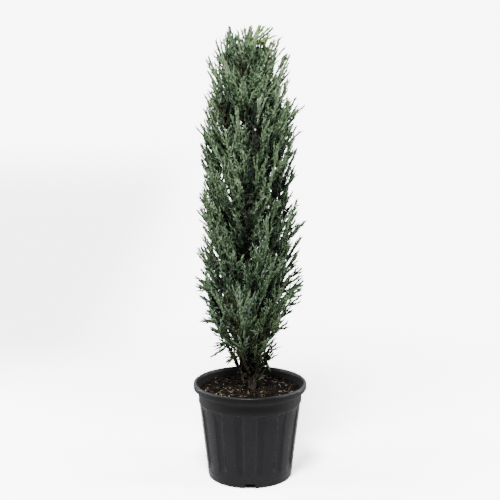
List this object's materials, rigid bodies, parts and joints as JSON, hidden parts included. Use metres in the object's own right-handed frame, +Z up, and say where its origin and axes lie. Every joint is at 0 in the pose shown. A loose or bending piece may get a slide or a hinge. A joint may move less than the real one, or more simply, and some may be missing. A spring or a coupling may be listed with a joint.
{
  "type": "potted columnar arizona cypress",
  "caption": "Young columnar Arizona cypress with a tapering trunk, rising boughs and upright masses of blue-green foliage, in a round fluted nursery pot filled with soil.",
  "frame": {"origin": "centre of the flat underside of the pot", "axes": "+Z up along the trunk, -Y towards the front of the plant, +X to its right as seen from the front"},
  "size_m": [0.222, 0.2222, 0.8812],
  "materials": {
    "pot_plastic": "satin",
    "potting_soil": "matte",
    "bark": "matte",
    "foliage": "matte"
  },
  "bodies": {
    "root": {"pot": "pot_plastic", "soil": "potting_soil", "trunk": "bark", "bough_low_1": "bark", "bough_low_2": "bark", "bough_low_3": "bark", "bough_low_4": "bark", "bough_low_5": "bark", "bough_lower_1": "bark", "bough_lower_2": "bark", "bough_lower_3": "bark", "bough_lower_4": "bark", "bough_middle_1": "bark", "bough_middle_2": "bark", "bough_middle_3": "bark", "bough_middle_4": "bark", "bough_upper_1": "bark", "bough_upper_2": "bark", "bough_upper_3": "bark", "bough_upper_4": "bark", "bough_high_1": "bark", "bough_high_2": "bark", "bough_high_3": "bark", "bough_high_4": "bark", "foliage_low_1": "foliage", "foliage_low_2": "foliage", "foliage_low_3": "foliage", "foliage_low_4": "foliage", "foliage_low_5": "foliage", "foliage_lower_1": "foliage", "foliage_lower_2": "foliage", "foliage_lower_3": "foliage", "foliage_lower_4": "foliage", "foliage_middle_1": "foliage", "foliage_middle_2": "foliage", "foliage_middle_3": "foliage", "foliage_middle_4": "foliage", "foliage_upper_1": "foliage", "foliage_upper_2": "foliage", "foliage_upper_3": "foliage", "foliage_upper_4": "foliage", "foliage_high_1": "foliage", "foliage_high_2": "foliage", "foliage_high_3": "foliage", "foliage_high_4": "foliage", "foliage_top": "foliage"}
  },
  "joints": []
}
